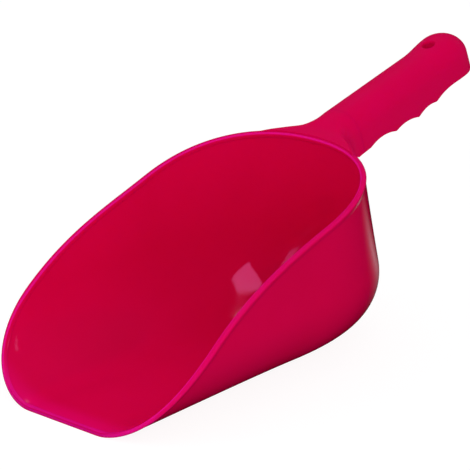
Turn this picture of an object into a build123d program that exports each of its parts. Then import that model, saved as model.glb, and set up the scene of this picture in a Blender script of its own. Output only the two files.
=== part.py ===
"""Grain scoop: a deep open-fronted bowl with a sloping rim, and a hollow grip rising from its back.

Millimetres. +Z is up, the mouth faces -Y and the grip points to +Y. The origin is the middle of the
flat strip that the scoop rests on. The scoop is symmetric about X = 0.
"""

import math
import os

from build123d import *

# Bowl
bowl_length = 240.0  # front lip to the back of the rim
bowl_height = 132.6  # resting strip to the back of the rim
half_width = 84.2  # at the rim, where the sides meet the rounded back
side_spread = 0.046  # how far each side opens per millimetre towards the mouth
back_depth = 80.0  # from the end of the straight sides to the back of the rim
back_squareness = 2.18  # 2 would be an ellipse, more is squarer
side_draft = math.tan(math.radians(3.1))  # the sides lean out towards the rim
back_lean = math.tan(math.radians(19.0))  # the back wall leans out towards the floor
floor_radius = 55.7  # large round between the walls and the floor
wall = 2.6
resting_length = 230.0  # flat strip on the underside, from the lip backwards
lip_y = -resting_length / 2
rim_back_y = lip_y + bowl_length

# Rim
lip_thickness = 3.4
rim_slope = 0.325  # rise per millimetre of the long straight part of the rim
front_drop = 54.2  # how far the lip lies under that straight line
curved_share = 0.62  # share of the bowl's length over which the rim bends down
bead_height = 4.0
bead_proud = 0.8  # the bead stands this much out of the wall on each side
lip_depth = 5.0
lip_half_width = 27.5

# Grip
grip_tilt = 14.5  # degrees above the floor
grip_rise = 6.2  # crown of the grip above the back of the rim
grip_length = 155.0  # back of the rim to the end of the grip, along the grip
neck_length = 25.0
grip_draft = 4.0  # degrees, the side walls spread downwards
grip_spread = math.tan(math.radians(grip_draft))
crown_half_width = 16.2
crown_radius = 15.0
swell_start = 109.0  # from here the grip widens into its rounded end
end_swell = 1.2  # the end is this much wider on each side
end_lift = 2.1  # and its crown is this much higher
root_depth = 32.0  # the walls spread from here up, the lower edge is cut above it
root_edge = 30.5
end_edge = 23.5
groove_ends = [(31.8, 28.3), (58.9, 29.7), (83.4, 31.3), (103.5, 29.6), (127.9, 25.0)]  # place, depth
groove_depths = [2.7, 2.2, 2.0, 1.2]
rib_places = [45.0, 70.0, 95.0]
rib_thickness = 2.0
rib_depth = 19.0

# Hanging hole
hole_radius = 4.8
hole_place = 124.3
eyelet_radius = 8.0
eyelet_depth = 6.0

# Neck sections: place along the grip, half width and height of the crown, radius of its shoulders,
# depth of the lower edge
neck_stations = [
    (-14.0, 47.0, -5.6, 5.0, 12.0),
    (-7.0, 40.5, -5.3, 6.0, 13.0),
    (0.0, 32.0, -4.9, 8.0, 16.0),
    (7.0, 22.9, -4.2, 10.5, 21.0),
    (15.0, 17.4, -1.7, 13.5, 26.5),
    (neck_length, crown_half_width, 0.0, crown_radius, root_depth),
]

overshoot = 15.0  # how far cutting shapes run past what they cut
section_angles = [0, 15, 30, 45, 60, 75, 90]  # steps round the large floor radius


def rim_height(y):
    """Height of the rim above the floor: a straight slope that bends down to the lip as a cubic."""
    share = (y - lip_y) / bowl_length
    straight = bowl_height - rim_slope * (rim_back_y - y)
    bend = max(0.0, 1 - share / curved_share) ** 3
    return straight - front_drop * bend


def rim_point(y, below=0.0):
    """Point of the rim line in the YZ plane, moved square to the line by the given depth."""
    step = 0.01
    slope = (rim_height(y + step) - rim_height(y - step)) / (2 * step)
    size = math.hypot(1, slope)
    return (y + below * slope / size, rim_height(y) - below / size)


def bowl_half_outline(height, inset):
    """Half width of the sides and depth of the back curve at a height, inside the wall by the inset."""
    radius = floor_radius - inset
    rise = min(max(height - inset, 0.0), radius)
    rounding = radius - math.sqrt(radius**2 - (radius - rise) ** 2)
    above = bowl_height - height
    side = half_width - above * side_draft - inset - rounding
    back = back_depth + above * back_lean - inset - rounding
    return side, back


def bowl_section(height, inset):
    """Outline of the bowl at one height: straight front and sides and a rounded back."""
    side, back = bowl_half_outline(height, inset)
    corner_y = rim_back_y - back_depth
    front_y = lip_y - overshoot
    front_side = side + side_spread * (corner_y - front_y)
    curve = []
    for step in range(1, 12):
        angle = math.pi * step / 12
        across = math.copysign(abs(math.cos(angle)) ** (2 / back_squareness), math.cos(angle))
        along = math.sin(angle) ** (2 / back_squareness)
        curve.append((side * across, corner_y + back * along))
    with BuildSketch(Plane.XY.offset(height)) as section:
        with BuildLine():
            Line((-front_side, front_y), (front_side, front_y))
            Line((front_side, front_y), (side, corner_y))
            Spline(
                (side, corner_y), *curve, (-side, corner_y),
                tangents=[(-side_spread, 1), (-side_spread, -1)],
            )
            Line((-side, corner_y), (-front_side, front_y))
        make_face()
    return section.sketch


def bowl_solid(inset):
    """Solid tub, smaller all round than the outside of the bowl by the inset."""
    radius = floor_radius - inset
    heights = [inset + radius * (1 - math.cos(math.radians(a))) for a in section_angles]
    with BuildPart() as tub:
        loft([bowl_section(height, inset) for height in heights])
        loft([bowl_section(height, inset) for height in (heights[-1], bowl_height + overshoot)])
    return tub.part


def rim_curve(below):
    """Points of the rim line, or of a line square below it, from the lip to behind the bowl."""
    stations = [lip_y + bowl_length * share for share in (0, 0.08, 0.18, 0.3, 0.45, 0.65, 1.0)]
    return [rim_point(y, below) for y in stations + [rim_back_y + 2 * overshoot]]


def space_under(below):
    """Everything under the rim line, or under a line square below it, as deep below the floor."""
    points = rim_curve(below)
    front_y, back_y = points[0][0], points[-1][0]
    with BuildPart() as region:
        with BuildSketch(Plane.YZ):
            with BuildLine():
                Spline(*points)
                Polyline(points[-1], (back_y, -below), (front_y, -below), points[0])
            make_face()
        extrude(amount=2 * half_width, both=True)
    return region.part


def grip_plane(up=0.0):
    """Plane square to the crown: local X is across, local Y runs along the grip from the rim."""
    tilt = math.radians(grip_tilt)
    normal = Vector(0, -math.sin(tilt), math.cos(tilt))
    start = Vector(0, rim_back_y, bowl_height + grip_rise)
    return Plane(origin=start + normal * up, x_dir=(1, 0, 0), z_dir=normal)


def cross_plane(along):
    """Plane across the grip: local X is across, local Y is up from the crown."""
    base = grip_plane()
    return Plane(origin=base.origin + base.y_dir * along, x_dir=(1, 0, 0), z_dir=-base.y_dir)


def side_plane():
    """The plane of symmetry seen along the grip: local X is along the grip, local Y is up."""
    base = grip_plane()
    return Plane(origin=base.origin, x_dir=base.y_dir, z_dir=(1, 0, 0))


def arch(along, side, top, radius, depth, inset, half=False):
    """Section across the grip or the neck: a bar with a rounded crown that spreads downwards."""
    foot = side + (depth + top) * grip_spread
    low = -depth - inset
    with BuildSketch(cross_plane(along)) as section:
        with BuildLine():
            Polyline(
                (-foot + inset, low), (foot - inset, low),
                (side - inset, top - inset), (-side + inset, top - inset), close=True,
            )
        make_face()
        fillet(section.vertices().group_by(Axis.Y)[-1], radius=radius - inset)
        if half:
            with Locations((2 * side, 0)):
                Rectangle(4 * side, 4 * root_depth, mode=Mode.INTERSECT)
    return section.sketch


def grip_solid(inset, start):
    """Bar with a round crown and a domed end, smaller all round by the inset."""
    end_side = crown_half_width + end_swell
    end_centre = grip_length - end_side - root_depth * grip_spread
    straight = (crown_half_width, 0, crown_radius, root_depth, inset)
    swollen = (end_side, end_lift, crown_radius, root_depth, inset)
    end_plane = cross_plane(end_centre)
    with BuildPart() as bar:
        loft([arch(start, *straight), arch(swell_start, *straight)])
        loft([arch(swell_start, *straight), arch(end_centre, *swollen)])
        revolve(
            arch(end_centre, *swollen, half=True),
            axis=Axis(end_plane.origin, end_plane.y_dir), revolution_arc=180,
        )
    return bar.part


def neck_solid(inset):
    """Flare between the grip and the back of the rim."""
    with BuildPart() as flare:
        loft([arch(*station, inset) for station in neck_stations])
    return flare.part


def finger_cutter():
    """Everything under the grip's lower edge, with an arc for each finger."""
    front, back, far = -2 * overshoot, grip_length + overshoot, 2 * root_depth
    cusps = [(along, -depth) for along, depth in groove_ends]
    with BuildPart() as cutter:
        with BuildSketch(side_plane()):
            with BuildLine():
                Line((front, -root_edge), cusps[0])
                for first, last, depth in zip(cusps, cusps[1:], groove_depths):
                    middle = ((first[0] + last[0]) / 2, (first[1] + last[1]) / 2 + depth)
                    ThreePointArc(first, middle, last)
                Polyline(
                    cusps[-1], (back, -end_edge), (back, -far), (front, -far), (front, -root_edge)
                )
            make_face()
        extrude(amount=2 * neck_stations[0][1], both=True)
    return cutter.part


os.makedirs("parts", exist_ok=True)

bowl_outside = bowl_solid(0)
bowl_inside = bowl_solid(wall)
under_bead = space_under(bead_height)

with BuildPart() as lip_edge:
    with BuildSketch(Plane.YZ) as lip_profile:
        with Locations((lip_y, 0)):
            Rectangle(lip_depth, lip_thickness, align=(Align.MIN, Align.MIN))
        front_corners = lip_profile.vertices().group_by(Axis.X)[0].sort_by(Axis.Y)
        fillet(front_corners[-1], radius=lip_thickness * 0.6)
        fillet(lip_profile.vertices().group_by(Axis.X)[0].sort_by(Axis.Y)[0], radius=lip_thickness * 0.2)
    extrude(amount=lip_half_width, both=True)
lip_edge.part.label = "lip_edge"
export_step(lip_edge.part, "parts/lip_edge.step")

with BuildPart() as lip_space:
    with BuildSketch():
        with Locations((0, lip_y + lip_depth)):
            Rectangle(2 * lip_half_width, 2 * lip_depth, align=(Align.CENTER, Align.MAX))
    extrude(amount=lip_thickness + bead_height, both=True)

with BuildPart() as bowl_shell:
    add(bowl_outside)
    add(bowl_inside, mode=Mode.SUBTRACT)
    add(under_bead, mode=Mode.INTERSECT)
    add(lip_space.part, mode=Mode.SUBTRACT)
bowl_shell.part.label = "bowl_shell"
export_step(bowl_shell.part, "parts/bowl_shell.step")

with BuildPart() as rim_bead:
    add(bowl_solid(-bead_proud))
    add(bowl_solid(wall + bead_proud), mode=Mode.SUBTRACT)
    add(space_under(0), mode=Mode.INTERSECT)
    add(under_bead, mode=Mode.SUBTRACT)
    add(lip_space.part, mode=Mode.SUBTRACT)
rim_bead.part.label = "rim_bead"
export_step(rim_bead.part, "parts/rim_bead.step")

fingers = finger_cutter()
grip_hollow = grip_solid(wall, -overshoot)

with BuildPart() as hole_pin:
    with BuildSketch(grip_plane(-2 * eyelet_depth)):
        with Locations((0, hole_place)):
            Circle(hole_radius)
    extrude(amount=4 * eyelet_depth)

with BuildPart() as handle_grip:
    add(grip_solid(0, neck_length))
    add(grip_hollow, mode=Mode.SUBTRACT)
    add(fingers, mode=Mode.SUBTRACT)
    add(hole_pin.part, mode=Mode.SUBTRACT)
handle_grip.part.label = "handle_grip"
export_step(handle_grip.part, "parts/handle_grip.step")

with BuildPart() as hanging_eyelet:
    with BuildSketch(grip_plane(-eyelet_depth)):
        with Locations((0, hole_place)):
            Circle(eyelet_radius)
            Circle(hole_radius, mode=Mode.SUBTRACT)
    extrude(amount=eyelet_depth)
    add(grip_hollow, mode=Mode.INTERSECT)
hanging_eyelet.part.label = "hanging_eyelet"
export_step(hanging_eyelet.part, "parts/hanging_eyelet.step")

with BuildPart() as handle_ribs:
    for place in rib_places:
        with BuildSketch(cross_plane(place)):
            with Locations((0, -rib_depth / 2)):
                Rectangle(3 * crown_half_width, rib_depth)
        extrude(amount=rib_thickness)
    add(grip_hollow, mode=Mode.INTERSECT)
handle_ribs.part.label = "handle_ribs"
export_step(handle_ribs.part, "parts/handle_ribs.step")

with BuildPart() as neck_shoulder:
    add(neck_solid(0))
    add(neck_solid(wall), mode=Mode.SUBTRACT)
    add(bowl_solid(-bead_proud), mode=Mode.SUBTRACT)
    add(fingers, mode=Mode.SUBTRACT)
neck_shoulder.part.label = "neck_shoulder"
export_step(neck_shoulder.part, "parts/neck_shoulder.step")
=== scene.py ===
"""Grain scoop of glossy pink polypropylene: the finished surfaces over the CAD frame, in metres."""

import math

import bmesh
import bpy
from mathutils import Matrix, Vector


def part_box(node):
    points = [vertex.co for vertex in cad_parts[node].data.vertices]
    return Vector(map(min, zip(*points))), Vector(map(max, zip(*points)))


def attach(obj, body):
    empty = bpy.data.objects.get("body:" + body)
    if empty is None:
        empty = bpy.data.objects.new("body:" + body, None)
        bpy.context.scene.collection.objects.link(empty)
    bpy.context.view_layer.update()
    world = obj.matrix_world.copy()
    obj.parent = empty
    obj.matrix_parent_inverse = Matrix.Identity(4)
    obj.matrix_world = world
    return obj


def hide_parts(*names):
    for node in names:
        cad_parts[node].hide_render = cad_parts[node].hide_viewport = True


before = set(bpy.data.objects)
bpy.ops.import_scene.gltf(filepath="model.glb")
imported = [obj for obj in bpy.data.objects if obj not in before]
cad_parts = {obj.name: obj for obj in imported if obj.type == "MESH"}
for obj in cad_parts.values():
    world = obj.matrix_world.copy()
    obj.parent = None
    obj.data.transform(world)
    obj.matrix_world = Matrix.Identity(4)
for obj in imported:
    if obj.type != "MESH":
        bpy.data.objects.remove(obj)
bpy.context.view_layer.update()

MM = 0.001
CLOSE = 0.1 * MM  # corners this near to a place count as being there

# Bowl. The lengths that set its place come from the frame, the rounds and slopes are its own
LIP_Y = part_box("lip_edge")[0].y
LIP_HALF_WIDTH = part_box("lip_edge")[1].x
HALF_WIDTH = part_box("bowl_shell")[1].x
BOWL_LENGTH = 240 * MM
BACK_Y = LIP_Y + BOWL_LENGTH  # back of the rim
BACK_DEPTH = 80 * MM  # from the end of the straight sides to the back of the rim
CORNER_Y = BACK_Y - BACK_DEPTH
BACK_SQUARENESS = 2.18  # 2 would be an ellipse
SIDE_SPREAD = 0.056  # how far each side opens per unit of length towards the mouth
SPREAD_EASE = 30 * MM  # the opening starts softly over this length
SIDE_DRAFT = math.tan(math.radians(3.1))
BACK_LEAN = math.tan(math.radians(19.0))
FLOOR_RADIUS = 55.7 * MM
WALL = 2.6 * MM
TUCK = 1.4 * MM  # the wall ends this far inside the rounded edge
FIRST_ROW = 0.004  # the skin starts this share back from the lip, where the wall has no height yet
ROW_CROWDING = 1.6  # its rows lie closer together towards the lip

# Rim
RIM_SLOPE = 0.325  # rise of the long straight part per unit of length
RIM_PROUD = 0.8 * MM  # the rounded edge stands this much out of the wall on each side
BOWL_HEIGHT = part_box("rim_bead")[1].z - RIM_PROUD * RIM_SLOPE
FRONT_DROP = 54.2 * MM  # how far the lip lies under the straight part's line
CURVED_SHARE = 0.62  # share of the bowl's length over which the rim bends down
RIM_DEPTH = 5.0 * MM  # height of the rounded edge, from its foot on the wall
RIM_ROUND = 1.3 * MM  # radius of its two corners
LEAST_PROUD = 0.15 * MM  # at the lip, where the edge lies flush in the floor

# Grip
TILT = math.radians(14.5)
GRIP_RISE = 6.2 * MM  # the crown starts this high above the back of the rim
GRIP_LENGTH = 154.5 * MM
NECK_LENGTH = 25 * MM
GRIP_SPREAD = math.tan(math.radians(4.0))  # the side walls lean out downwards
CROWN_HALF_WIDTH = 16.2 * MM
CROWN_RADIUS = 15 * MM
SWELL_START = 109 * MM  # from here on the grip grows towards its rounded end
END_SWELL = 1.2 * MM  # the end is this much wider on each side
END_LIFT = 2.1 * MM  # and its crown is this much higher
GRIP_DEPTH = 32 * MM  # full depth of the side walls, before the lower edge is cut
END_CENTRE = GRIP_LENGTH - CROWN_HALF_WIDTH - END_SWELL - GRIP_DEPTH * GRIP_SPREAD
HOLE_RADIUS = 4.8 * MM
HOLE_PLACE = 124.3 * MM

# Lower edge of the grip, in mm: the places where its stretches meet, each with its depth under the crown,
# and how deep each stretch is hollowed for a finger. The first and the last stretch are straight
EDGE_POINTS = [
    (-30, 30.5), (31.8, 28.3), (58.9, 29.7), (83.4, 31.3), (103.5, 29.6), (127.9, 25.0), (169, 23.6),
]
FINGER_HOLLOWS = [0, 2.7, 2.2, 2.0, 1.2, 0]

# Neck, in mm: place along the grip, half width, height of the crown, shoulder radius and depth of the
# lower edge. The first station lies inside the bowl's wall, the last is the section of the grip
NECK_STATIONS = [
    (-14, 47.0, -5.6, 5.0, 12.0),
    (-7, 40.5, -5.3, 6.0, 13.0),
    (0, 32.0, -4.9, 8.0, 16.0),
    (7, 22.9, -4.2, 10.5, 21.0),
    (15, 17.4, -1.7, 13.5, 26.5),
    (25, 16.2, 0.0, 15.0, 32.0),
]


# ---------------------------------------------------------------- helpers

def deselect_all():
    """Nothing is selected, so that the next operator acts only on what it is meant for."""
    if bpy.context.object and bpy.context.object.mode != "OBJECT":
        bpy.ops.object.mode_set(mode="OBJECT")
    bpy.ops.object.select_all(action="DESELECT")


def pick(piece):
    """Selects one piece alone and makes it the active one."""
    deselect_all()
    piece.select_set(True)
    bpy.context.view_layer.objects.active = piece


def lay_skin(name, rows, columns, place, painted_highlight_at=None):
    """A flat grid whose corners are laid on a surface. place(along, across) takes shares from 0 to 1.

    The last argument, a function of across, gives the share of painted light at each point: a painted
    highlight, kept as a point attribute that the material paints in as a lighter colour.
    """
    deselect_all()
    bpy.ops.mesh.primitive_grid_add(
        x_subdivisions=rows, y_subdivisions=columns, size=1, location=(0.5, 0.5, 0)
    )
    skin = bpy.context.object
    skin.name = name
    bpy.ops.object.transform_apply(location=True)
    # the share of painted highlight at each corner, for the material to paint in
    if painted_highlight_at:
        painted_light = skin.data.attributes.new("painted_light", "FLOAT", "POINT")
        for corner in skin.data.vertices:
            painted_light.data[corner.index].value = painted_highlight_at(corner.co.y)
    for corner in skin.data.vertices:
        corner.co = place(corner.co.x, corner.co.y)
    bpy.ops.object.mode_set(mode="EDIT")
    bpy.ops.mesh.select_all(action="SELECT")
    bpy.ops.mesh.remove_doubles(threshold=0.01 * MM)
    bpy.ops.mesh.normals_make_consistent(inside=False)
    bpy.ops.object.mode_set(mode="OBJECT")
    return skin


def finish_with(piece, kind, **settings):
    """Adds a modifier with its settings and applies it."""
    pick(piece)
    modifier = piece.modifiers.new(kind.title(), kind)
    for key, value in settings.items():
        setattr(modifier, key, value)
    bpy.ops.object.modifier_apply(modifier=modifier.name)


def face_away_from(piece, inside_point):
    """Turns an open skin so that its faces look away from a point on its hollow side."""
    nearest = min(piece.data.polygons, key=lambda face: (face.center - inside_point).length)
    if nearest.normal.dot(nearest.center - inside_point) < 0:
        pick(piece)
        bpy.ops.object.mode_set(mode="EDIT")
        bpy.ops.mesh.select_all(action="SELECT")
        bpy.ops.mesh.flip_normals()
        bpy.ops.object.mode_set(mode="OBJECT")


def smooth(piece, degrees=35):
    """Smooth shading that keeps the real corners sharp."""
    pick(piece)
    bpy.ops.object.shade_smooth_by_angle(angle=math.radians(degrees))


# ---------------------------------------------------------------- bowl

def rim_height(y):
    """Height of the rim: a straight slope that bends down to the lip as a cubic."""
    share = (y - LIP_Y) / BOWL_LENGTH
    bend = max(0.0, 1 - share / CURVED_SHARE) ** 3
    return BOWL_HEIGHT - RIM_SLOPE * (BACK_Y - y) - FRONT_DROP * bend


def side_and_back(height):
    """Half width of the sides and depth of the rounded back at a height, on the outside."""
    rise = min(max(height, 0.0), FLOOR_RADIUS)
    rounding = FLOOR_RADIUS - math.sqrt(FLOOR_RADIUS**2 - (FLOOR_RADIUS - rise) ** 2)
    above = BOWL_HEIGHT - height
    side = HALF_WIDTH - above * SIDE_DRAFT - rounding
    back = BACK_DEPTH + above * BACK_LEAN - rounding
    return side, back


def side_opening(y):
    """How much further out the straight side stands towards the mouth."""
    run = CORNER_Y - y
    return SIDE_SPREAD * (run - SPREAD_EASE * (1 - math.exp(-run / SPREAD_EASE)))


def wall_point(along, height):
    """Point of the outer wall. along runs from 0 at the lip, by 0.5 at the corner, to 1 at the back."""
    side, back = side_and_back(height)
    if along <= 0.5:
        y = LIP_Y + (CORNER_Y - LIP_Y) * (2 * along) ** ROW_CROWDING
        return Vector((side + side_opening(y), y, height))
    angle = (along - 0.5) * math.pi
    across = max(math.cos(angle), 0.0) ** (2 / BACK_SQUARENESS)
    return Vector((side * across, CORNER_Y + back * math.sin(angle) ** (2 / BACK_SQUARENESS), height))


def rim_point(along):
    """Where the outer wall meets the rim's height, found by moving halfway there 16 times."""
    height = BOWL_HEIGHT
    for _ in range(16):
        height = (height + rim_height(wall_point(along, height).y)) / 2
    return wall_point(along, height)


def bowl_point(along, across):
    """Point of the bowl's outside: down the wall, round the floor radius and over the resting strip."""
    along = max(along, FIRST_ROW)
    top = rim_point(along)
    wall = max(0.0, top.z - FLOOR_RADIUS)
    start = math.pi / 2 if wall else math.acos(1 - top.z / FLOOR_RADIUS)
    strip = wall_point(along, 0.0)
    travel = TUCK + (1 - abs(2 * across - 1)) * (wall + FLOOR_RADIUS * start + strip.x - TUCK)
    if travel < wall:
        point = wall_point(along, top.z - travel)
    elif travel < wall + FLOOR_RADIUS * start:
        turn = start - (travel - wall) / FLOOR_RADIUS
        point = wall_point(along, FLOOR_RADIUS * (1 - math.cos(turn)))
    else:
        point = strip
        point.x = max(0.0, wall + FLOOR_RADIUS * start + strip.x - travel)
    if across < 0.5:
        point.x = -point.x
    return point


def bowl():
    """The bowl: one skin for the floor and the walls, thickened inwards."""
    piece = lay_skin("bowl_wall", 150, 130, bowl_point)
    face_away_from(piece, Vector((0, CORNER_Y, FLOOR_RADIUS)))
    finish_with(piece, "SOLIDIFY", thickness=WALL, offset=-1, use_even_offset=True)
    smooth(piece)
    return piece


# ---------------------------------------------------------------- rim and lip

def mouth_line(count):
    """Even points of the mouth's right half, from the middle of the lip to the middle of the back."""
    lip_end = rim_point(0)
    lip_steps, rim_steps = 40, 900
    line = []
    for k in range(lip_steps):
        share = k / lip_steps
        line.append(Vector((lip_end.x * k / lip_steps, LIP_Y, lip_end.z * share**6)))
    line += [rim_point((k / rim_steps) ** 1.5) for k in range(rim_steps + 1)]
    lengths = [0.0]
    for before, after in zip(line, line[1:]):
        lengths.append(lengths[-1] + (after - before).length)
    even, index = [], 0
    for k in range(count):
        want = lengths[-1] * k / (count - 1)
        while index < len(line) - 2 and lengths[index + 1] < want:
            index += 1
        share = (want - lengths[index]) / (lengths[index + 1] - lengths[index])
        even.append(line[index].lerp(line[index + 1], share))
    return even


def wall_normal(point):
    """Outward direction of the bowl's outer wall at a point on the right half."""
    rise = min(max(point.z / FLOOR_RADIUS, 0.0), 1.0)
    level, down = math.sqrt(1 - (1 - rise) ** 2), 1 - rise
    if point.y <= CORNER_Y:
        return Vector((level, level * SIDE_SPREAD, -down - level * SIDE_DRAFT)).normalized()
    side, back = side_and_back(point.z)
    across = max(point.x, 0.0) / side
    beyond = (point.y - CORNER_Y) / back
    power = BACK_SQUARENESS - 1
    out = Vector((across**power / side, beyond**power / back, 0)).normalized()
    out *= level
    out.z = -down - out.x * SIDE_DRAFT + out.y * BACK_LEAN
    return out.normalized()


def mouth_frames(count):
    """Points of the mouth with the wall's outward direction and the direction out of its edge."""
    line = mouth_line(count)
    frames = []
    for k, here in enumerate(line):
        run = (line[min(k + 1, count - 1)] - line[max(k - 1, 0)]).normalized()
        if k in (0, count - 1):
            run = Vector((1 if k == 0 else -1, 0, 0))
        out = wall_normal(here)
        out = (out - run * out.dot(run)).normalized()
        frames.append((here, out, out.cross(run).normalized()))
    return frames


def edge_section(proud):
    """Section of the rounded edge: (out, up) from the wall's outer face, open at the wall.

    Its 19 points are 3 up the outer flank, 7 round the outer corner, 7 round the inner one and 2 down
    the inner flank. Both ends are sunk into the wall.
    """
    proud = max(proud, LEAST_PROUD)
    inner = -(WALL + proud)
    outline = [(-0.3 * MM, -RIM_DEPTH), (proud * 0.12, -RIM_DEPTH * 0.8), (proud * 0.7, -RIM_DEPTH * 0.45)]
    for step in range(7):
        turn = math.radians(15 * step)
        outline.append((proud - RIM_ROUND * (1 - math.cos(turn)), -RIM_ROUND * (1 - math.sin(turn))))
    for step in range(7):
        turn = math.radians(90 - 15 * step)
        outline.append((inner + RIM_ROUND * (1 - math.cos(turn)), -RIM_ROUND * (1 - math.sin(turn))))
    outline += [(-WALL - proud * 0.8, -RIM_DEPTH * 0.55), (-WALL + 0.3 * MM, -RIM_DEPTH)]
    return outline


def edge_painted_highlight(around):
    """Share of painted light round the edge: a painted highlight, most at the inner corner, then a fainter
    one along the top.
    """
    count = len(edge_section(0))
    index = round(around * count) % count
    if 11 <= index <= 14:
        return 1.0
    if 6 <= index <= 10:
        return 0.3
    return 0.15 if index in (4, 5, 15) else 0.0


MOUTH = mouth_frames(240)
LIP_END = next(k for k, (here, out, up) in enumerate(MOUTH) if here.x >= LIP_HALF_WIDTH)
LIP_SHARE = LIP_END / (len(MOUTH) - 1)


def edge_point(reach, around):
    """Point of the rounded edge. reach runs from -1 to 1 round the mouth, 0 being the lip's middle."""
    place = abs(reach) * (len(MOUTH) - 1)
    index = min(int(place), len(MOUTH) - 2)
    here, out, up = (a.lerp(b, place - index) for a, b in zip(MOUTH[index], MOUTH[index + 1]))
    out.normalize()
    up.normalize()
    section = edge_section(RIM_PROUD * (1 - max(0.0, -out.z)))
    across, rise = section[round(around * len(section)) % len(section)]
    point = here + out * across + up * rise
    point.z = max(point.z, 0.0)
    if reach < 0:
        point.x = -point.x
    return point


def rim():
    """The thickened rounded edge round the mouth, from one end of the lip to the other."""
    def place(along, around):
        side = 2 * along - 1
        reach = LIP_SHARE + (1 - LIP_SHARE) * (1 - abs(side))
        return edge_point(reach if side <= 0 else -reach, around)

    piece = lay_skin("mouth_rim", 360, len(edge_section(0)), place, edge_painted_highlight)
    smooth(piece, 50)
    return piece


def lip():
    """The straight scraping edge at the front of the floor."""
    piece = lay_skin(
        "front_lip", 24, len(edge_section(0)),
        lambda along, around: edge_point((2 * along - 1) * LIP_SHARE, around), edge_painted_highlight,
    )
    smooth(piece, 50)
    return piece


# ---------------------------------------------------------------- neck and grip

GRIP_START = Vector((0, BACK_Y, BOWL_HEIGHT + GRIP_RISE))
GRIP_ALONG = Vector((0, math.cos(TILT), math.sin(TILT)))
GRIP_UP = Vector((0, -math.sin(TILT), math.cos(TILT)))


def on_grip(across, along, up):
    """Point given across, along and up from the crown line of the grip."""
    return GRIP_START + Vector((across, 0, 0)) + GRIP_ALONG * along + GRIP_UP * up


def lower_edge(along):
    """Depth of the lower edge under the crown, with a round hollow for each finger."""
    for (start, deep), (end, next_deep), hollow in zip(EDGE_POINTS, EDGE_POINTS[1:], FINGER_HOLLOWS):
        if along <= end * MM:
            share = (along / MM - start) / (end - start)
            line = deep + (next_deep - deep) * share
            return (line - hollow * (1 - (2 * share - 1) ** 2)) * MM
    return EDGE_POINTS[-1][1] * MM


def arch(around, side, top, radius, depth):
    """Point (across, up) of an arch with rounded shoulders; around runs from the left foot to the right."""
    reach = 1 - abs(2 * around - 1)
    slope = math.atan(GRIP_SPREAD)
    foot_share, shoulder_share = 0.35, 0.85
    turn_all = math.pi / 2 - slope
    tangent = radius * math.tan(turn_all / 2)
    shoulder_top = side - tangent
    wall_top = (side + tangent * math.sin(slope), top - tangent * math.cos(slope))
    if reach < foot_share:
        share = reach / foot_share
        foot = (side + (depth + top) * GRIP_SPREAD, -depth)
        across, up = (foot[k] + (wall_top[k] - foot[k]) * share for k in (0, 1))
    elif reach < shoulder_share:
        turn = slope + turn_all * (reach - foot_share) / (shoulder_share - foot_share)
        across = shoulder_top + radius * math.cos(turn)
        up = top - radius + radius * math.sin(turn)
    else:
        across = shoulder_top * (1 - (reach - shoulder_share) / (1 - shoulder_share))
        up = top
    return (-across if around < 0.5 else across), up


def between_stations(along):
    """Half width, crown height, shoulder radius and depth of the neck, on a curve through its stations."""
    place = along / MM
    stations = NECK_STATIONS
    index = 0
    while index < len(stations) - 2 and place > stations[index + 1][0]:
        index += 1
    first, last = stations[index], stations[index + 1]
    before = stations[max(index - 1, 0)]
    after = stations[min(index + 2, len(stations) - 1)]
    width = last[0] - first[0]
    share = (place - first[0]) / width
    values = []
    for k in (1, 2, 3, 4):
        leave = (last[k] - before[k]) / (last[0] - before[0]) * width
        arrive = (after[k] - first[k]) / (after[0] - first[0]) * width
        if index == len(stations) - 2:
            arrive = 0.0
        value = (
            (2 * share**3 - 3 * share**2 + 1) * first[k]
            + (share**3 - 2 * share**2 + share) * leave
            + (3 * share**2 - 2 * share**3) * last[k]
            + (share**3 - share**2) * arrive
        )
        values.append(value * MM)
    return values


def neck_surface(along, around):
    """Point of the neck's outside at a place along the grip."""
    side, top, radius, depth = between_stations(along)
    across, up = arch(around, side, top, radius, min(depth, lower_edge(along)))
    return on_grip(across, along, up)


def inside_bowl(point, sunk=1.2 * MM):
    """True if the point is deeper than this behind the bowl's outer face."""
    side, back = side_and_back(point.z)
    side, back = side - sunk, back - sunk
    if point.y <= CORNER_Y:
        return abs(point.x) < side
    return (abs(point.x) / side) ** BACK_SQUARENESS + ((point.y - CORNER_Y) / back) ** BACK_SQUARENESS < 1


def keep_in_wall(piece):
    """Brings back into the bowl's wall whatever went through it, so that nothing shows inside the bowl."""
    deepest = WALL * 0.6
    for corner in piece.data.vertices:
        side, back = (reach - deepest for reach in side_and_back(corner.co.z))
        beyond = max(corner.co.y - CORNER_Y, 0.0)
        share = (abs(corner.co.x) / side) ** BACK_SQUARENESS + (beyond / back) ** BACK_SQUARENESS
        if share < 1:
            stretch = share ** (-1 / BACK_SQUARENESS)
            corner.co.x *= stretch
            corner.co.y = CORNER_Y + beyond * stretch


neck_starts = {}


def neck_start(around):
    """Place along the grip where a line of the neck sinks into the bowl's wall."""
    key = round(around, 6)
    if key not in neck_starts:
        low, high = NECK_STATIONS[0][0] * MM, NECK_LENGTH
        for _ in range(24):
            middle = (low + high) / 2
            if inside_bowl(neck_surface(middle, around)):
                low = middle
            else:
                high = middle
        neck_starts[key] = high
    return neck_starts[key]


def neck_point(along, around):
    """Rows from the bowl's wall to the start of the grip."""
    start = neck_start(around)
    return neck_surface(start + (NECK_LENGTH - start) * along, around)


def neck():
    """The flare between the grip and the back of the rim."""
    piece = lay_skin("neck_flare", 40, 80, neck_point)
    face_away_from(piece, on_grip(0, NECK_LENGTH * 0.7, -GRIP_DEPTH * 0.5))
    finish_with(piece, "SOLIDIFY", thickness=WALL, offset=-1, use_even_offset=True)
    keep_in_wall(piece)
    smooth(piece)
    return piece


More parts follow.
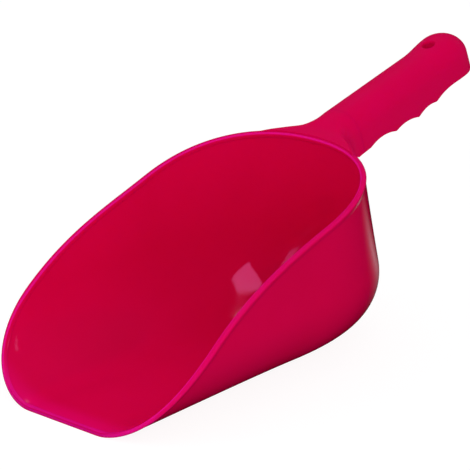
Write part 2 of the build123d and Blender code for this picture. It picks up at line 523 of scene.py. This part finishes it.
def choose(piece, kind, wanted):
    """In edit mode, selects only the vertices, edges or faces whose middle passes a test."""
    bpy.ops.mesh.select_mode(type=kind)
    bpy.ops.mesh.select_all(action="DESELECT")
    mesh = bmesh.from_edit_mesh(piece.data)
    parts = {"VERT": mesh.verts, "EDGE": mesh.edges, "FACE": mesh.faces}[kind]
    for part in parts:
        if kind == "VERT":
            middle = part.co
        elif kind == "EDGE":
            middle = (part.verts[0].co + part.verts[1].co) / 2
        else:
            middle = part.calc_center_median()
        if wanted(middle, part):
            part.select_set(True)
    mesh.select_flush_mode()
    bmesh.update_edit_mesh(piece.data)


def grip():
    """The hollow grip: a long box made round on top and open below, with finger hollows and a domed end."""
    length = END_CENTRE - NECK_LENGTH
    foot = CROWN_HALF_WIDTH + GRIP_DEPTH * GRIP_SPREAD
    deselect_all()
    bpy.ops.mesh.primitive_cube_add(
        size=1, location=(0, NECK_LENGTH + length / 2, -GRIP_DEPTH / 2),
        scale=(2 * CROWN_HALF_WIDTH, length, GRIP_DEPTH),
    )
    piece = bpy.context.object
    piece.name = "grip"
    bpy.ops.object.transform_apply(location=True, rotation=True, scale=True)
    bpy.ops.object.mode_set(mode="EDIT")
    # the walls lean out towards the open underside
    choose(piece, "VERT", lambda middle, corner: middle.z < -GRIP_DEPTH / 2)
    bpy.ops.transform.resize(value=(foot / CROWN_HALF_WIDTH, 1, 1), center_override=(0, 0, 0))
    choose(piece, "FACE", lambda middle, face: face.normal.z < -0.9 or abs(face.normal.y) > 0.9)
    bpy.ops.mesh.delete(type="FACE")
    # the crown
    halfway = NECK_LENGTH + length / 2
    choose(piece, "EDGE", lambda middle, edge: middle.z > -CLOSE and abs(middle.x) > 1 * MM
           and abs(middle.y - halfway) < 1 * MM)
    tangent = CROWN_RADIUS * math.tan((math.pi / 2 - math.atan(GRIP_SPREAD)) / 2)
    bpy.ops.mesh.bevel(offset=tangent, segments=20, affect="EDGES", offset_type="OFFSET", profile=0.5)
    bpy.ops.mesh.select_all(action="SELECT")
    bpy.ops.mesh.bisect(plane_co=(0, 0, 0), plane_no=(1, 0, 0))
    # rows along the grip
    choose(piece, "EDGE", lambda middle, edge: abs(middle.y - halfway) < 1 * MM)
    rows = 72
    bpy.ops.mesh.subdivide(number_cuts=rows - 1)
    for row in range(rows + 1):
        place = NECK_LENGTH + length * row / rows
        share = min(1.0, max(0.0, (place - SWELL_START) / (END_CENTRE - SWELL_START)))
        ease = share**2 * (3 - 2 * share)
        # finger hollows in the lower edge, and the swelling towards the end
        deep = lower_edge(place) + END_LIFT * ease
        choose(piece, "VERT", lambda middle, corner: abs(middle.y - place) < CLOSE
               and middle.z < -GRIP_DEPTH + CLOSE)
        bpy.ops.transform.resize(
            value=((CROWN_HALF_WIDTH + deep * GRIP_SPREAD) / foot, 1, 1), center_override=(0, 0, 0)
        )
        bpy.ops.transform.translate(value=(0, 0, GRIP_DEPTH - deep))
        if ease > 0:
            choose(piece, "VERT", lambda middle, corner: abs(middle.y - place) < CLOSE)
            bpy.ops.transform.resize(
                value=(1 + END_SWELL * ease / CROWN_HALF_WIDTH, 1, 1), center_override=(0, 0, 0)
            )
            bpy.ops.transform.translate(value=(0, 0, END_LIFT * ease))
    # the domed end
    choose(piece, "EDGE", lambda middle, edge: abs(middle.y - END_CENTRE) < CLOSE and middle.x > 0
           and abs(edge.verts[0].co.y - edge.verts[1].co.y) < CLOSE)
    bpy.ops.mesh.spin(steps=40, angle=-math.pi, center=(0, END_CENTRE, 0), axis=(0, 0, 1))
    bpy.ops.mesh.select_mode(type="VERT")
    bpy.ops.mesh.select_all(action="SELECT")
    bpy.ops.mesh.remove_doubles(threshold=0.02 * MM)
    bpy.ops.mesh.normals_make_consistent(inside=False)
    bpy.ops.object.mode_set(mode="OBJECT")
    face_away_from(piece, Vector((0, GRIP_LENGTH * 0.5, -GRIP_DEPTH * 0.5)))
    finish_with(piece, "SOLIDIFY", thickness=WALL, offset=-1, use_even_offset=True)
    deselect_all()
    bpy.ops.mesh.primitive_cylinder_add(
        vertices=64, radius=HOLE_RADIUS, depth=GRIP_DEPTH, location=(0, HOLE_PLACE, 0)
    )
    drill = bpy.context.object
    finish_with(piece, "BOOLEAN", operation="DIFFERENCE", object=drill, solver="EXACT")
    bpy.data.objects.remove(drill)
    # moulded plastic has no knife edge anywhere
    corners = math.radians(55)
    finish_with(piece, "BEVEL", width=0.45 * MM, segments=2, limit_method="ANGLE", angle_limit=corners)
    piece.rotation_euler = (TILT, 0, 0)
    piece.location = GRIP_START
    pick(piece)
    bpy.ops.object.transform_apply(location=True, rotation=True, scale=True)
    smooth(piece)
    return piece


# ---------------------------------------------------------------- materials

def linear(code):
    """sRGB hex to the linear colour that shaders use."""
    shares = [int(code[k:k + 2], 16) / 255 for k in (1, 3, 5)]
    return [s / 12.92 if s <= 0.04045 else ((s + 0.055) / 1.055) ** 2.4 for s in shares] + [1.0]


def add_node(tree, kind, inputs=None, **settings):
    """Adds a node; inputs maps a socket to a value or to another node's output."""
    node = tree.nodes.new(kind)
    for key, value in settings.items():
        setattr(node, key, value)
    for key, value in (inputs or {}).items():
        if isinstance(value, bpy.types.NodeSocket):
            tree.links.new(value, node.inputs[key])
        else:
            node.inputs[key].default_value = value
    return node


FLOW_STREAK = 70 * MM  # length of the streaks that the flowing plastic leaves
LIP_GLOW_REACH = 26 * MM  # behind the lip, over which a painted glow grows towards the lip
LIGHT_REACH = 3 * MM  # how far light soaks into the plastic


def moulded_polypropylene(name, deep, bright, painted_light, roughness, shine, grain, glow):
    """Polypropylene with a strong pink pigment, injection moulded.

    The eye gets one deep even pink with hardly any pattern. deep and bright are the two ends of faint
    cloudy streaks where the plastic flowed. The third colour is painted light: a lighter pink, turning
    towards purple, painted where light would come through, as a painted glow behind the lip and a
    painted highlight along the rounded edge of the mouth. grain is the size of the mould's texture,
    drawn coarser than the few hundredths of a millimetre of the real one so that it can break up the
    gloss a little. glow is how much of the light soaks in, which softens the shading as in all unfilled
    polypropylene.
    """
    material = bpy.data.materials.new(name)
    material.use_nodes = True
    tree = material.node_tree
    tree.nodes.clear()
    place = add_node(tree, "ShaderNodeTexCoord").outputs["Object"]
    flow = add_node(
        tree, "ShaderNodeTexNoise",
        {"Vector": place, "Scale": 1 / FLOW_STREAK, "Detail": 2.0, "Distortion": 0.6},
    )
    streaks = add_node(
        tree, "ShaderNodeMix", {"Factor": flow.outputs["Fac"], "A": linear(deep), "B": linear(bright)},
        data_type="RGBA",
    )
    axes = add_node(tree, "ShaderNodeSeparateXYZ", {"Vector": place})
    # painted glow: the colour turns to the lighter painted-light pink towards the lip, as if light came
    # through there
    painted_lip_glow = add_node(
        tree, "ShaderNodeMapRange",
        {
            "Value": axes.outputs["Y"],
            "From Min": LIP_Y + LIP_GLOW_REACH,
            "From Max": LIP_Y,
            "To Min": 0.0,
            "To Max": 1.0,
        },
        interpolation_type="SMOOTHERSTEP",
    )
    # painted highlight along the rounded edge, read from the point attribute
    edge = add_node(tree, "ShaderNodeAttribute", attribute_name="painted_light")
    most = add_node(
        tree, "ShaderNodeMath", {0: painted_lip_glow.outputs["Result"], 1: edge.outputs["Fac"]}, operation="MAXIMUM"
    )
    tint = add_node(
        tree, "ShaderNodeMix",
        {"Factor": most.outputs["Value"], "A": streaks.outputs["Result"], "B": linear(painted_light)},
        data_type="RGBA",
    )
    texture = add_node(tree, "ShaderNodeTexNoise", {"Vector": place, "Scale": 1 / grain, "Detail": 3.0})
    dull = add_node(
        tree, "ShaderNodeMapRange",
        {"Value": texture.outputs["Fac"], "To Min": roughness * 0.85, "To Max": roughness * 1.15},
    )
    dimple = add_node(
        tree, "ShaderNodeBump", {"Height": texture.outputs["Fac"], "Strength": 0.06, "Distance": 0.05 * MM}
    )
    plastic = add_node(
        tree, "ShaderNodeBsdfPrincipled",
        {
            "Base Color": tint.outputs["Result"],
            "Roughness": dull.outputs["Result"],
            "Normal": dimple.outputs["Normal"],
            "IOR": 1.49,
            "Specular IOR Level": shine,
            "Specular Tint": linear("#ff80e0"),
            "Subsurface Weight": glow,
            "Subsurface Radius": (1.0, 0.25, 0.4),
            "Subsurface Scale": LIGHT_REACH,
        },
    )
    add_node(tree, "ShaderNodeOutputMaterial", {"Surface": plastic.outputs["BSDF"]})
    return material


# The bowl comes from a polished mould: smooth enough to mirror a window as a clear patch
# its third colour paints the glow behind the lip
wall_plastic = moulded_polypropylene(
    "polished pink polypropylene", deep="#e2024a", bright="#ea0252", painted_light="#f4046e",
    roughness=0.12, shine=0.5, grain=2.2 * MM, glow=0.3,
)
# The rounded edge is the same plastic, painted a little brighter as painted light for the light that
# gets in from both sides, with a brighter, more purple painted highlight line round the mouth
edge_plastic = moulded_polypropylene(
    "thin pink polypropylene edge", deep="#e60250", bright="#ee0258", painted_light="#ff1092",
    roughness=0.16, shine=0.5, grain=2.2 * MM, glow=0.5,
)
# Neck and grip come from a finely textured part of the mould, for hold: a matt pink with no highlights
grip_plastic = moulded_polypropylene(
    "matt pink polypropylene", deep="#e4004e", bright="#ea0058", painted_light="#ea0058",
    roughness=0.45, shine=0.03, grain=0.5 * MM, glow=0.3,
)


# ---------------------------------------------------------------- the object

def give(piece, material, *nodes):
    """Finishes a new piece: its plastic, its body and the CAD nodes that it stands for."""
    piece.data.materials.clear()
    piece.data.materials.append(material)
    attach(piece, "root")
    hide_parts(*nodes)


give(bowl(), wall_plastic, "bowl_shell")
give(rim(), edge_plastic, "rim_bead")
give(lip(), edge_plastic, "lip_edge")
give(neck(), grip_plastic, "neck_shoulder")
give(grip(), grip_plastic, "handle_grip")

# The ring round the hanging hole and the ribs under the grip keep their plain shapes and get their plastic
for name in ("hanging_eyelet", "handle_ribs"):
    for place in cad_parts[name].material_slots:
        place.material = grip_plastic


# ---------------------------------------------------------------- studio

def studio_floor():
    """A wide backlit sheet of white acrylic: it stays white and takes only a breath of shadow."""
    deselect_all()
    bpy.ops.mesh.primitive_plane_add(size=12)
    sheet = bpy.context.object
    sheet.name = "floor"
    acrylic = bpy.data.materials.new("backlit opal acrylic")
    acrylic.use_nodes = True
    shader = acrylic.node_tree.nodes["Principled BSDF"]
    shader.inputs["Base Color"].default_value = linear("#707070")
    shader.inputs["Roughness"].default_value = 0.9
    shader.inputs["Specular IOR Level"].default_value = 0.0
    shader.inputs["Emission Color"].default_value = linear("#ffffff")
    shader.inputs["Emission Strength"].default_value = 0.91
    sheet.data.materials.append(acrylic)
    # it neither lights the scoop nor shows in its gloss
    sheet.visible_glossy = False
    sheet.visible_diffuse = False


def grey_card(name, middle, reach, brightness):
    """A dim card on the floor behind the bowl, bright in its middle and fading to nothing.

    It is seen only mirrored, as the sheen down the bowl's far edge.
    """
    deselect_all()
    bpy.ops.mesh.primitive_plane_add(size=2)
    card = bpy.context.object
    card.name = name
    card.scale = (reach[0], reach[1], 1)
    card.location = (middle[0], middle[1], 0.2 * MM)
    face = bpy.data.materials.new("faded grey card")
    face.use_nodes = True
    tree = face.node_tree
    tree.nodes.clear()
    place = add_node(tree, "ShaderNodeTexCoord").outputs["Object"]
    fade = add_node(tree, "ShaderNodeTexGradient", {"Vector": place}, gradient_type="QUADRATIC_SPHERE")
    level = add_node(
        tree, "ShaderNodeMath", {0: fade.outputs["Fac"], 1: brightness * 2}, operation="MULTIPLY"
    )
    glow = add_node(tree, "ShaderNodeEmission", {"Strength": level.outputs["Value"]})
    add_node(tree, "ShaderNodeOutputMaterial", {"Surface": glow.outputs["Emission"]})
    card.data.materials.append(face)
    card.visible_camera = False
    card.visible_diffuse = False
    card.visible_shadow = False


def mirror_card(name, outline, place, aim, brightness):
    """A small lit card close over the plastic, seen only as the crisp patch that it mirrors there.

    outline, place and aim are in mm; the outline lies across the line from the place to the aim.
    Only the side towards the plastic is lit.
    """
    deselect_all()
    bpy.ops.mesh.primitive_circle_add(vertices=len(outline), radius=1, fill_type="NGON")
    card = bpy.context.object
    card.name = name
    for corner, (across, up) in zip(card.data.vertices, outline):
        corner.co = Vector((across, up, 0)) * MM
    card.location = Vector(place) * MM
    card.rotation_euler = (Vector(aim) - Vector(place)).to_track_quat("Z", "Y").to_euler()
    face = bpy.data.materials.new("lit card")
    face.use_nodes = True
    tree = face.node_tree
    tree.nodes.clear()
    side = add_node(tree, "ShaderNodeNewGeometry").outputs["Backfacing"]
    lit = add_node(tree, "ShaderNodeMapRange", {"Value": side, "To Min": brightness, "To Max": 0.0})
    glow = add_node(tree, "ShaderNodeEmission", {"Strength": lit.outputs["Result"]})
    add_node(tree, "ShaderNodeOutputMaterial", {"Surface": glow.outputs["Emission"]})
    card.data.materials.append(face)
    card.visible_camera = False
    card.visible_diffuse = False
    card.visible_transmission = False
    card.visible_shadow = False


def soft_box(name, place, aim, width, height, brightness):
    """A studio lamp with an even face, kept out of the picture and out of the gloss.

    brightness is what its face looks like against white paper.
    """
    lamp = bpy.data.lights.new(name, "AREA")
    lamp.shape = "RECTANGLE"
    lamp.size = width
    lamp.size_y = height
    lamp.energy = brightness * math.pi * width * height
    body = bpy.data.objects.new(name, lamp)
    bpy.context.scene.collection.objects.link(body)
    body.location = place
    body.rotation_euler = (Vector(aim) - Vector(place)).to_track_quat("-Z", "Y").to_euler()
    body.visible_camera = False
    body.visible_glossy = False


def camera():
    """Long lens, from the front right and slightly above."""
    azimuth, elevation, roll = (math.radians(angle) for angle in (43.36, 19.01, -0.9))
    distance = 1.8476
    back = Vector((
        math.sin(azimuth) * math.cos(elevation),
        -math.cos(azimuth) * math.cos(elevation),
        math.sin(elevation),
    ))
    aim = Vector((10.2, 35.1, 88.2)) * MM
    data = bpy.data.cameras.new("camera")
    data.lens = 216.86
    data.sensor_width = 36
    data.clip_start = 0.05
    view = bpy.data.objects.new("camera", data)
    bpy.context.scene.collection.objects.link(view)
    view.location = aim + back * distance
    level = (-back).to_track_quat("-Z", "Y").to_matrix()
    view.rotation_euler = (level @ Matrix.Rotation(roll, 3, "Z")).to_euler()
    bpy.context.scene.camera = view


def soft_daylight(overhead, underneath):
    """Even light from all round, a little weaker from below, with nothing of it mirrored in the gloss."""
    sky = bpy.data.worlds.new("studio")
    bpy.context.scene.world = sky
    sky.use_nodes = True
    tree = sky.node_tree
    tree.nodes.clear()
    toward = add_node(tree, "ShaderNodeTexCoord").outputs["Generated"]
    axes = add_node(tree, "ShaderNodeSeparateXYZ", {"Vector": toward})
    level = add_node(
        tree, "ShaderNodeMapRange",
        {
            "Value": axes.outputs["Z"],
            "From Min": -0.5,
            "From Max": 0.5,
            "To Min": underneath,
            "To Max": overhead,
        },
    )
    light = add_node(
        tree, "ShaderNodeBackground", {"Color": (1, 1, 1, 1), "Strength": level.outputs["Result"]}
    )
    add_node(tree, "ShaderNodeOutputWorld", {"Surface": light.outputs["Background"]})
    sky.cycles_visibility.glossy = False


studio_floor()
soft_daylight(overhead=0.62, underneath=0.40)
soft_box("fill_box", (1.20, -0.50, 0.25), (0.05, 0.05, 0.06), width=0.5, height=0.5, brightness=2.4)
soft_box("left_box", (-0.80, -1.00, 0.90), (0.05, 0.08, 0.05), width=0.6, height=0.6, brightness=2.0)
soft_box("key_box", (0.97, -1.03, 0.58), (0, 0.05, 0.07), width=0.7, height=0.7, brightness=2.6)
grey_card("grey_card", middle=(0.01, 0.32), reach=(0.075, 0.22), brightness=0.24)
# the patch on the far wall of the bowl, like a mirrored window
mirror_card(
    "window_card", [(-7.2, -6.6), (-3.5, -6.2), (4.9, 1.2), (5.7, 6.0), (-5.6, 6.6)],
    place=(-42.6, 111.6, 30.8), aim=(-50.0, 110.3, 21.5), brightness=3.6,
)
# a fainter one behind it, partly hidden by the near rim
mirror_card(
    "back_card", [(0.4, 1.1), (-3.0, 0.9), (-1.0, -0.9), (3.5, -2.9)],
    place=(-30.2, 129.2, 35.6), aim=(-36.9, 139.2, 34.8), brightness=2.4,
)
# and a small streak just inside the front corner of the rim
mirror_card(
    "streak_card", [(-4.6, 3.2), (1.4, -1.9), (2.8, -0.5)],
    place=(-64.9, -78.1, 33.5), aim=(-72.1, -84.9, 26.7), brightness=1.6,
)
camera()
# colours come out as they are given, with no film look
bpy.context.scene.view_settings.view_transform = "Standard"
